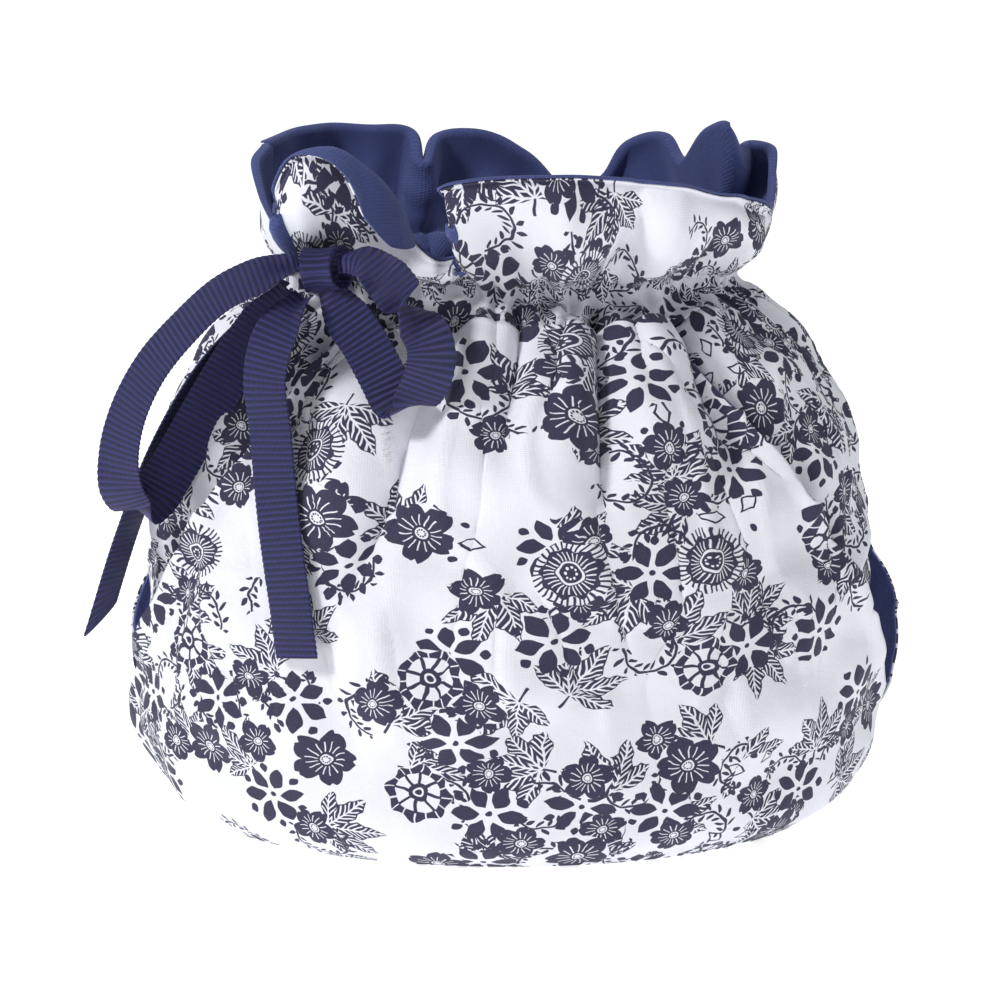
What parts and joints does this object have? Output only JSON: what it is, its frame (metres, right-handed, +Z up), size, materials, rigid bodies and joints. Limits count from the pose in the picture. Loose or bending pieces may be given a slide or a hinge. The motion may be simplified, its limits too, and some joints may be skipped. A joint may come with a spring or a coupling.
{
  "type": "knitting bag",
  "caption": "Lined drawstring knitting bag that stands on an oval base, with a gathered frilled neck, slanted outer pockets and a ribbon bow.",
  "frame": {"origin": "middle of the underside of the flat oval base, on the surface that the bag stands on", "axes": "+X to the bag's right, -Y out of the front face that carries the bow, +Z up"},
  "size_m": [0.264, 0.1634, 0.2197],
  "materials": {
    "printed_cotton": "matt plain-weave cotton, white with a dark navy all-over flower print",
    "navy_lining": "matt navy cotton twill",
    "navy_ribbon": "low-sheen cross-ribbed grosgrain",
    "thread": "matt sewing thread"
  },
  "bodies": {
    "bag": {"outer_base": "printed_cotton", "outer_front": "printed_cotton", "outer_back": "printed_cotton", "front_pocket": "printed_cotton", "back_pocket": "printed_cotton", "casing_front": "printed_cotton", "casing_back": "printed_cotton", "heading_right": "printed_cotton", "heading_left": "printed_cotton", "lining_base": "navy_lining", "lining_front": "navy_lining", "lining_back": "navy_lining", "front_pocket_lining": "navy_lining", "back_pocket_lining": "navy_lining", "heading_right_lining": "navy_lining", "heading_left_lining": "navy_lining", "casing_stitch_lower": "thread", "casing_stitch_upper": "thread", "drawstring_in_casing": "navy_ribbon", "ribbon_lead": "navy_ribbon", "bow_knot": "navy_ribbon"},
    "mouth_front": {"heading_front": "printed_cotton", "heading_front_lining": "navy_lining"},
    "mouth_back": {"heading_back": "printed_cotton", "heading_back_lining": "navy_lining"},
    "left_loop": {"bow_left_loop": "navy_ribbon"},
    "right_loop": {"bow_right_loop": "navy_ribbon"},
    "front_tail": {"ribbon_front_tail": "navy_ribbon"},
    "rear_tail": {"ribbon_rear_tail": "navy_ribbon"}
  },
  "joints": [
    {"name": "mouth_front_fold", "type": "hinge", "parent": "bag", "child": "mouth_front", "pos_m": [0, -0.036, 0.184], "axis": [1, 0, 0], "range_deg": [-30, 15]},
    {"name": "mouth_back_fold", "type": "hinge", "parent": "bag", "child": "mouth_back", "pos_m": [0, 0.036, 0.184], "axis": [-1, 0, 0], "range_deg": [-30, 15]},
    {"name": "left_loop_swing", "type": "hinge", "parent": "bag", "child": "left_loop", "pos_m": [-0.0635, -0.047, 0.1895], "axis": [0, 1, 0], "range_deg": [0, 35]},
    {"name": "right_loop_lift", "type": "hinge", "parent": "bag", "child": "right_loop", "pos_m": [-0.052, -0.05, 0.1885], "axis": [-1, 0, 0], "range_deg": [0, 25]},
    {"name": "front_tail_lift", "type": "hinge", "parent": "bag", "child": "front_tail", "pos_m": [-0.0635, -0.05, 0.184], "axis": [-1, 0, 0], "range_deg": [0, 35]},
    {"name": "rear_tail_swing", "type": "hinge", "parent": "bag", "child": "rear_tail", "pos_m": [-0.0675, -0.03, 0.182], "axis": [0, 1, 0], "range_deg": [0, 25]}
  ],
  "couplings": [
    {"joint": "mouth_back_fold", "follows": "mouth_front_fold", "ratio": 1}
  ]
}
